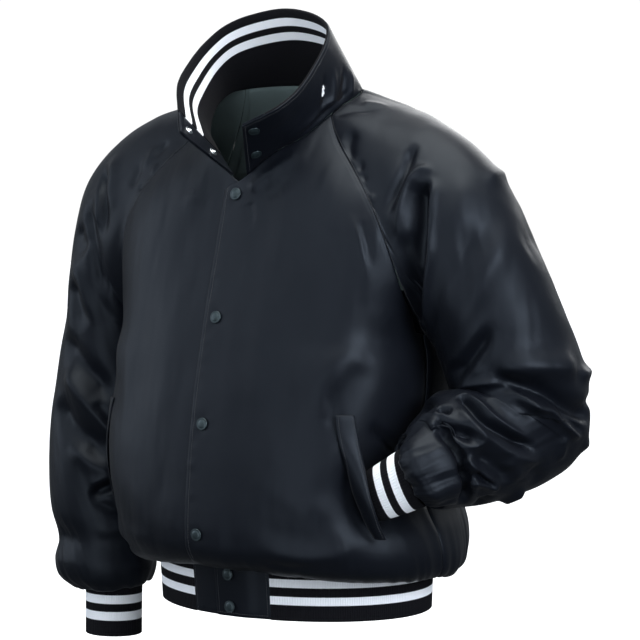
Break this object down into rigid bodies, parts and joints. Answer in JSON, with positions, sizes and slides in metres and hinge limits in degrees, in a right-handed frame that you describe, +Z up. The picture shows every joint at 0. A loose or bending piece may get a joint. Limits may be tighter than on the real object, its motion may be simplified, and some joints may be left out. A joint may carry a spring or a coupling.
{
  "type": "raglan warm-up jacket",
  "caption": "Satin raglan-sleeve warm-up jacket with a snap front and striped rib collar, cuffs and hem, filled out as worn with the left cuff in the front pocket.",
  "frame": {"origin": "middle of the neck opening at the collar seam, where the wearer's neck and shoulders hold the jacket", "axes": "+X towards the wearer's left, +Y towards the wearer's back, +Z up"},
  "size_m": [0.7416, 0.3754, 0.7965],
  "materials": {
    "satin": "black woven satin with a soft blue-grey sheen",
    "rib": "black rib knit with two white stripes",
    "lining": "smooth grey-green lining",
    "snap": "dark painted press-stud cap",
    "stud": "bright press-stud ball and socket"
  },
  "bodies": {
    "root": {"front_left": "satin", "front_right": "satin", "back": "satin", "sleeve_left": "satin", "sleeve_right": "satin", "collar_outer": "satin", "collar_tab_left": "satin", "collar_tab_right": "satin", "hem_tab_left": "satin", "hem_tab_right": "satin", "pocket_welt_left": "satin", "pocket_welt_right": "satin", "cuff_left": "rib", "cuff_right": "rib", "collar_rib": "rib", "hem_rib": "rib", "neck_lining": "lining", "snap_front_1": "snap", "snap_front_2": "snap", "snap_front_3": "snap", "snap_front_4": "snap", "snap_hem_1": "snap", "snap_hem_2": "snap", "collar_cap_upper": "snap", "collar_cap_lower": "snap", "collar_stud_upper": "stud", "collar_stud_lower": "stud"}
  },
  "joints": []
}
